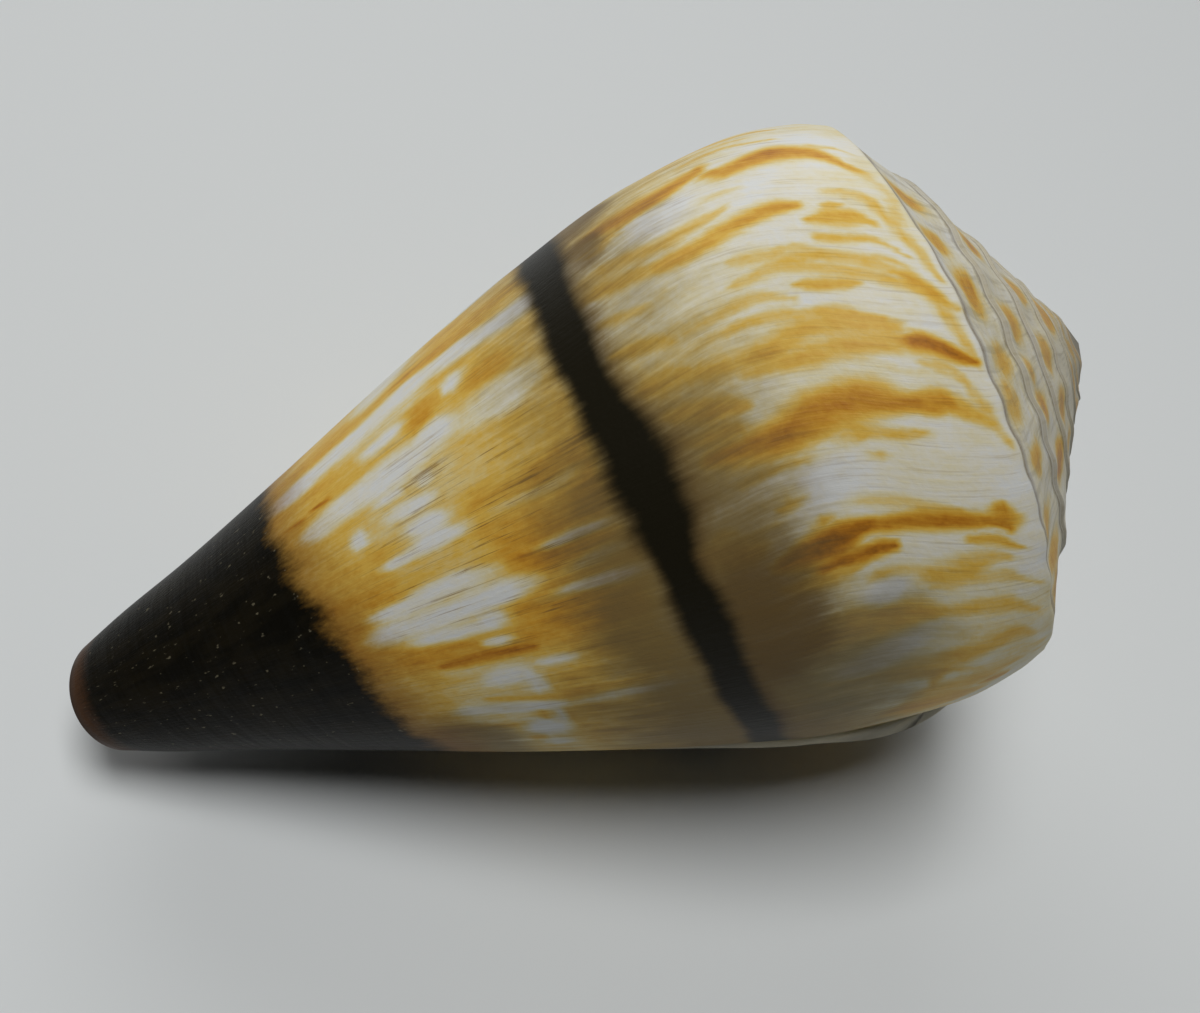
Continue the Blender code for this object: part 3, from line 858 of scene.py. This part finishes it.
# The haze behind the band, then wider and in front of it further round, then a patch by the dark end.
# The wider part is brown stain and painted shade on the lower body, and the patch by the dark end is
# painted shade.
haze_here = 0.55 + 0.45 * ease(0.60, 0.72, all_turn) * (1 - ease(0.93, 1.02, all_turn))
behind = haze_here * ease(0.120, 0.29, wave_share) * (1 - ease(0.37, 0.52, wave_share))
wider_stain_and_shade = 0.80 * ease(0.71, 0.82, wave_turn) * ease(0.09, 0.25, wave_share) * (1 - ease(0.40, 0.60, wave_share))
in_front = 0.40 * ease(0.75, 0.83, wave_turn) * ease(0.38, 0.44, wave_share)
shade_by_dark_end = 0.80 * spot_field(wave_turn, wave_share, 0.850, 0.610, 0.060, 0.070)
haze_and_shade = np.max([behind, wider_stain_and_shade, in_front, shade_by_dark_end], axis=0)
# A painted shade: a grey patch behind the band, low on the side away from the lip, where the body turns
# away from the light.
grey = 0.8 * spot_field(wave_turn, wave_share, 0.818, 0.195, 0.050, 0.095)
# Thin brown lines crowd together in front of the band.
lines = 0.22 + 0.70 * spot_field(wave_turn, wave_share, 0.665, 0.47, 0.085, 0.14)
lines = np.maximum(lines, 0.6 * spot_field(wave_turn, wave_share, 0.500, 0.30, 0.060, 0.30))
print("dark end covers", round(100 * float((past_edge[on_body] > 0).mean())), "% of the body's points")

# %% [markdown]
# ## Storing the layers
#
# Each layer is stored at the mesh's points under a plain name, and the material reads it by that name.
# The hollow gets none of the marks. The newest shell, at the lip's edge, is pale.

# %% Layers on the mesh
INSIDE_GOLD, FAR_FROM_EDGE = 0.14, -40.0
inside_shell = np.concatenate(net.part) > 0.5
outer = on_body & ~inside_shell
lip_edge = outer & (all_turn < 0.5)
layers = {
    "gold": np.where(inside_shell, INSIDE_GOLD, gold),
    "band": np.where(outer, band, 0),
    "halo": np.where(outer, np.maximum(halo, smear), 0),
    "haze_and_shade": np.where(outer, haze_and_shade, 0),
    "lines": np.where(inside_shell, 0, lines),
    "past_edge": np.where(outer, past_edge, FAR_FROM_EDGE),
    "grey": np.where(outer, grey, 0),
    "spire": np.where(inside_shell | (on_body & (all_turn <= 1.0)), 0.0, 1.0),
    "seam": (all_share == -1.0).astype(float),
    "lip_pale": np.where(lip_edge, 1 - ease(0.003, 0.012, all_turn), 0),
}
for name, values in layers.items():
    data.attributes.new(name, "FLOAT", "POINT").data.foreach_set("value", values.astype(np.float32))
print("layers:", ", ".join(layers))

# %% [markdown]
# ## The finish
#
# The shell is dense and smooth, a little like glazed porcelain, with a skin that follows the growth lines.
# The colour is built up in thin coats, in the order in which the eye finds them: white ground and golden
# marks, brown lines and hazes with some painted shade, dark band and front end, then soiling and painted
# shade on the spire. Each coat is mixed over the last, as a painter would, so that any one can be made weaker
# without touching the others.
#
# One small function adds a node, sets it and links it.

# %% Node helper
# What it is: the mineral that the snail laid down, grown smooth and worn a little. To the eye it is dense
# and glossy, with soft wide highlights and colour that seems to lie just under the surface.
grown_shell = bpy.data.materials.new("grown shell, smooth and glossy")
grown_shell.use_nodes = True
tree = grown_shell.node_tree
tree.nodes.clear()
# Settings that many nodes share.
TIMES, TIMES_AND_ADD = {"operation": "MULTIPLY"}, {"operation": "MULTIPLY_ADD"}
COLOURS, SOFT_STEP = {"data_type": "RGBA"}, {"interpolation_type": "SMOOTHSTEP"}


def add(kind, inputs, settings=None):
    """Adds a node. Settings: its own properties. Inputs: values or links, in socket order or by name."""
    node = tree.nodes.new("ShaderNode" + kind)
    for key, value in (settings or {}).items():
        setattr(node, key, value)
    if not isinstance(inputs, dict):
        inputs = dict(zip([i for i, socket in enumerate(node.inputs) if socket.enabled], inputs))
    for key, value in inputs.items():
        if isinstance(value, bpy.types.NodeSocket):
            tree.links.new(value, node.inputs[key])
        else:
            node.inputs[key].default_value = value
    return next((socket for socket in node.outputs if socket.enabled), None)


at_point = {}
for name in ("turn", "share", *layers):
    read = add("Attribute", [], {"attribute_type": "GEOMETRY", "attribute_name": name})
    at_point[name] = read.node.outputs["Fac"]
turn, share, on_spire = at_point["turn"], at_point["share"], at_point["spire"]
print("the material reads", len(at_point), "layers")

# %% [markdown]
# ## Patterns along the growth lines
#
# Growth lines on a shell of this size are a few tenths of a millimetre apart and several millimetres long.
# A plain noise has round grains, so the place that it is read at is squeezed along the lines, which draws
# the grains out into streaks. Fine, broad and cloudy patterns together keep any one from showing.

# %% Fine, broad, cloudy, mottled and hair-line patterns
# Each pattern: grains per mm across the lines, that number's share along them, which layer of the noise,
# how many octaves of detail, and how rough they are.
PATTERNS = {
    "fine": (2.6, 0.07, 0.0, 4.0, 0.62),       # 0.4 mm across and 5 mm long
    "broad": (0.62, 0.22, 3.0, 3.0, 0.55),     # 1.6 mm across and 7 mm long
    "cloudy": (0.30, 0.8, 7.0, 4.0, 0.6),      # 3 mm across and 4 mm long
    "mottled": (1.6, 1.0, 11.0, 3.0, 0.6),     # 0.6 mm each way
    "hair": (3.6, 0.035, 5.0, 3.0, 0.7),       # 0.3 mm across and 8 mm long
}
# Growth lines lean back near the shoulder.
lean = add("MapRange", [share, 0.0, LEAN_SHARE, SHOULDER_LEAN, 0.0], SOFT_STEP)
line_turn = add("Math", [turn, lean], {"operation": "SUBTRACT"})
across = add("Math", [line_turn, ROUND_MM], TIMES)
down = add("Math", [share, BODY_MM], TIMES)
pattern = {}
for name, (per_mm, drawn_out, layer, octaves, rough) in PATTERNS.items():
    along = add("Math", [down, drawn_out], TIMES)
    pattern[name] = add("TexNoise", [add("CombineXYZ", [across, along, layer]), per_mm, octaves, rough])


def shaken(value, **amounts):
    """Shakes a value with patterns, each centred on nought and scaled, so that its edges break up."""
    for name, amount in amounts.items():
        centred = add("Math", [pattern[name], 0.5], {"operation": "SUBTRACT"})
        value = add("Math", [centred, amount, value], TIMES_AND_ADD)
    return value


print("patterns:", ", ".join(pattern))

# %% [markdown]
# ## White ground and golden marks
#
# The golden colour sits in the outer skin. Where there is little of it the shell looks cream, then yellow,
# golden, orange and at last brown. One scale of colours does all of that, read at the strength painted
# on the net and shaken so that a mark breaks up along the growth lines. Thin brown hair lines go over it.

# %% Ground, gold and hair lines
GOLD_SCALE = (
    (0.00, "#CFD0CD"), (0.08, "#D2CFC2"), (0.22, "#D1C8A6"), (0.36, "#D0BA7C"),
    (0.52, "#D0AA4C"), (0.70, "#C4902F"), (0.86, "#AC701F"), (1.00, "#7A4A1A"),
)
HAIR_LINE_BROWN = "#7A5A2E"

golden = shaken(at_point["gold"], broad=0.30, fine=0.20, mottled=0.24, cloudy=0.26)
colour = add("ValToRGB", [golden])
scale = colour.node.color_ramp.elements
for _ in GOLD_SCALE[2:]:
    scale.new(0.5)
for stop, (at, shade) in zip(scale, GOLD_SCALE):
    stop.position, stop.color = at, linear(shade)
# The hair lines are missing in some clouds and close together in others.
hair_lines = add("MapRange", [pattern["hair"], 0.54, 0.64, 0.0, 1.0], SOFT_STEP)
in_clouds = add("MapRange", [pattern["cloudy"], 0.35, 0.65, 0.25, 1.0], SOFT_STEP)
where_hair = add("Math", [at_point["lines"], in_clouds], TIMES)
hair_amount = add("Math", [hair_lines, where_hair], TIMES)
colour = add("Mix", [hair_amount, colour, linear(HAIR_LINE_BROWN)], COLOURS)
print("golden scale of", len(scale), "shades")

# %% [markdown]
# ## Brown haze, painted shade and dark band
#
# The band is nearly black brown, with a softer brown edge and a wide haze where its colour spreads into
# the shell round it. On the lower body the haze also holds painted shade, and the grey patch is painted
# shade alone. A single dark stripe would look printed on. Four coats, each shaken by its own mix
# of patterns, give an edge that is feathered along the growth lines.

# %% Coats round the band
# Each coat: how its layer is shaken, the layer's values at which it starts and is full, how strong it
# then is, and its colour.
COATS = {
    # The haze is brown colour and, on the lower body, painted shade.
    "haze_and_shade": (dict(broad=0.5, fine=0.4, cloudy=0.4), (0.05, 1.0), 0.92, "#6E5C38"),
    # The grey coat is painted shade.
    "grey": (dict(broad=0.4, cloudy=0.5), (0.05, 1.0), 0.75, "#786E50"),
    "halo": (dict(broad=0.55, fine=0.35, mottled=0.2), (0.15, 1.05), 0.80, "#5E4A2C"),
    "band": (dict(broad=0.34, fine=0.24, mottled=0.14), (0.05, 0.85), 1.0, "#1A170D"),
}
for name, (amounts, (starts, full), strength, shade) in COATS.items():
    rough_edge = shaken(at_point[name], **amounts)
    amount = add("MapRange", [rough_edge, starts, full, 0.0, strength], SOFT_STEP)
    colour = add("Mix", [amount, colour, linear(shade)], COLOURS)
print("coats round the band:", ", ".join(COATS))

# %% [markdown]
# ## Dark front end
#
# The front end is nearly black, with a brown fringe, a worn brown rim at the very tip, and small pale
# specks where the dark skin is rubbed off. The fringe and the dark come from one distance in mm past the
# edge line, so they always stay together.

# %% Fringe, dark skin, specks and rim
FRINGE_BROWN, RIM_BROWN, SPECK_GREY = "#7C5424", "#4A3220", "#7A735E"
DARKEST, DARK_BROWN = "#0B0904", "#161208"
SPECKS_PER_MM, SPECK_STRETCH, SPECK_LAYER = 1.3, 0.7, 17.0

edge_mm = shaken(at_point["past_edge"], broad=0.9, fine=0.15, mottled=1.2, cloudy=1.5)
fringe = add("MapRange", [edge_mm, -4.5, 0.2, 0.0, 0.75], SOFT_STEP)
colour = add("Mix", [fringe, colour, linear(FRINGE_BROWN)], COLOURS)
in_skin = add("MapRange", [pattern["cloudy"], 0.35, 0.65, 0.0, 1.0], SOFT_STEP)
skin = add("Mix", [in_skin, linear(DARKEST), linear(DARK_BROWN)], COLOURS)
speck_place = add("CombineXYZ", [add("Math", [across, SPECK_STRETCH], TIMES), down, SPECK_LAYER])
speck_noise = add("TexNoise", [speck_place, SPECKS_PER_MM, 2.0, 0.7])
# A little of the cloudy pattern gathers the specks, instead of spacing them evenly.
gathered = add("Math", [pattern["cloudy"], 0.12, speck_noise], TIMES_AND_ADD)
specks = add("MapRange", [gathered, 0.71, 0.79, 0.0, 0.5], SOFT_STEP)
skin = add("Mix", [specks, skin, linear(SPECK_GREY)], COLOURS)
in_dark = add("MapRange", [edge_mm, -0.9, 1.2, 0.0, 1.0], SOFT_STEP)
colour = add("Mix", [in_dark, colour, skin], COLOURS)
# The rim's edge is a little uneven.
to_tip = add("Math", [pattern["mottled"], 0.02, share], TIMES_AND_ADD)
rim_amount = add("MapRange", [to_tip, 0.980, 1.004, 0.0, 0.9], SOFT_STEP)
colour = add("Mix", [rim_amount, colour, linear(RIM_BROWN)], COLOURS)
print("specks come from grains of", round(1 / SPECKS_PER_MM, 1), "mm")

# %% [markdown]
# ## Soiled spire, with painted shade
#
# The spire is the oldest shell, so it is the most worn: dull grey cream, darker towards the apex, with
# dirt in the seams between whorls. A shadowed groove just inside the shoulder is painted shadow, and the
# thin strip of wall above each seam is painted darker as shade. The golden blotches keep most of their
# colour. Dirt could be found from the shape with a pointiness or ambient-occlusion node, but the net
# already says where each seam is.

# %% Dirt, riblets, painted groove shadow, seams and painted wall shade
SPIRE_CREAM, RIBLET_BROWN, OLD_GREY = "#BCB5A0", "#80765E", "#948A78"
GROOVE_SHADOW_BROWN, SEAM_BROWN, WALL_SHADE_GREY, LIP_CREAM = "#75695A", "#6A6050", "#8F8775", "#D4CDB8"

age = add("Math", [pattern["cloudy"], 3.0, turn], TIMES_AND_ADD)
soil_by_age = add("MapRange", [age, 0.8, 5.5, 0.10, 0.65], SOFT_STEP)
less_on_gold = add("MapRange", [golden, 0.32, 0.55, 1.0, 0.25], SOFT_STEP)
soil = add("Math", [add("Math", [on_spire, soil_by_age], TIMES), less_on_gold], TIMES)
colour = add("Mix", [soil, colour, linear(SPIRE_CREAM)], COLOURS)
# Riblets: short lines up the ramps, where the lip once ended. They are about 1 mm apart at the shoulder and
# most of a ramp long.
RIBLETS_ROUND, RIBLETS_UP, RIBLET_LAYER, RIBLET_STRENGTH = 150.0, 1.2, 29.0, 0.30
riblet_round, riblet_up = add("Math", [turn, RIBLETS_ROUND], TIMES), add("Math", [share, RIBLETS_UP], TIMES)
riblet_noise = add("TexNoise", [add("CombineXYZ", [riblet_round, riblet_up, RIBLET_LAYER]), 1.1, 2.0, 0.6])
riblets = add("MapRange", [riblet_noise, 0.48, 0.68, 0.0, 1.0], SOFT_STEP)
riblets = add("Math", [add("Math", [riblets, on_spire], TIMES), RIBLET_STRENGTH], TIMES)
colour = add("Mix", [riblets, colour, linear(RIBLET_BROWN)], COLOURS)
oldest = add("Math", [on_spire, add("MapRange", [turn, 3.5, 8.0, 0.0, 0.60], SOFT_STEP)], TIMES)
colour = add("Mix", [oldest, colour, linear(OLD_GREY)], COLOURS)
# A painted shadow of the groove just inside the shoulder, mostly on the newest whorl.
groove_shadow = add("Math", [
    add("MapRange", [share, -0.22, -0.09, 0.0, 1.0], SOFT_STEP),
    add("MapRange", [share, -0.07, -0.01, 1.0, 0.0], SOFT_STEP),
], TIMES)
broken_groove_shadow = add("MapRange", [pattern["mottled"], 0.25, 0.60, 0.25, 0.80], SOFT_STEP)
newest_only = add("MapRange", [turn, 1.0, 1.1, 1.0, 0.12], SOFT_STEP)
groove_shadow = add("Math", [add("Math", [groove_shadow, broken_groove_shadow], TIMES), newest_only], TIMES)
colour = add("Mix", [groove_shadow, colour, linear(GROOVE_SHADOW_BROWN)], COLOURS)
seam_edge = shaken(at_point["seam"], mottled=0.9, broad=0.5)
in_seam = add("MapRange", [seam_edge, 0.35, 1.20, 0.0, 0.75], SOFT_STEP)
colour = add("Mix", [in_seam, colour, linear(SEAM_BROWN)], COLOURS)
# Painted shade: the thin strip of wall above each seam faces the light more than the ramps do, so it is
# painted darker.
older_wall_shade = add("Math", [
    add("MapRange", [turn, 0.99, 1.01, 0.0, 1.0], SOFT_STEP),
    add("MapRange", [share, -0.01, 0.001, 0.0, 1.0], SOFT_STEP),
], TIMES)
wall_shade_amount = add("Math", [add("Math", [older_wall_shade, on_spire], TIMES), 0.55], TIMES)
colour = add("Mix", [wall_shade_amount, colour, linear(WALL_SHADE_GREY)], COLOURS)
colour = add("Mix", [at_point["lip_pale"], colour, linear(LIP_CREAM)], COLOURS)
print("colour nodes so far:", len(tree.nodes))

# %% [markdown]
# ## Gloss and relief
#
# A shell is mostly aragonite, a clear dense mineral that is not metallic. The eye reads its gloss from
# soft highlights. Growth lines and the low ribs of the front end are a few hundredths of a millimetre
# high, too low to need real geometry, so a bump gives them.

# %% Surface
# Aragonite's IOR is about 1.53. A polished shell would be smoother than this, but the photograph shows
# wide and faint highlights, so it is rougher and its reflection is turned down.
ARAGONITE_IOR, ROUGHNESS, REFLECTION = 1.53, 0.42, 0.10
# Heights in mm.
GROWTH_LINE_HIGH, MOTTLE_HIGH, HAIR_HIGH, RIB_HIGH, RIB_HIGH_AT_SHOULDER = 0.03, 0.03, 0.015, 0.09, 0.01

# Ribs run round the front end, about 1.1 mm apart and a fifth of a turn long, and slope by 5 mm in a turn.
RIBS_PER_MM, RIB_SLOPE, RIB_ROUND, RIB_LAYER = 0.9, 5.0, 6.0, 23.0
rib_down = add("Math", [turn, RIB_SLOPE, down], TIMES_AND_ADD)
rib_place = add("CombineXYZ", [add("Math", [turn, RIB_ROUND], TIMES), rib_down, RIB_LAYER])
rib_noise = add("TexNoise", [rib_place, RIBS_PER_MM, 2.0, 0.6])
rib_height = add("MapRange", [share, 0.60, 0.78, RIB_HIGH_AT_SHOULDER, RIB_HIGH], SOFT_STEP)
relief = add("Math", [rib_noise, rib_height], TIMES)
for name, height in (("fine", GROWTH_LINE_HIGH), ("mottled", MOTTLE_HIGH), ("hair", HAIR_HIGH)):
    relief = add("Math", [pattern[name], height, relief], TIMES_AND_ADD)
bump = add("Bump", {"Strength": 1.0, "Distance": MM, "Height": relief})
finish = add("BsdfPrincipled", {
    "Base Color": colour, "Roughness": ROUGHNESS, "IOR": ARAGONITE_IOR,
    "Specular IOR Level": REFLECTION, "Normal": bump,
})
add("OutputMaterial", {"Surface": finish})
shell.data.materials.append(grown_shell)
print(grown_shell.name + ":", len(tree.nodes), "nodes and", len(tree.links), "links")
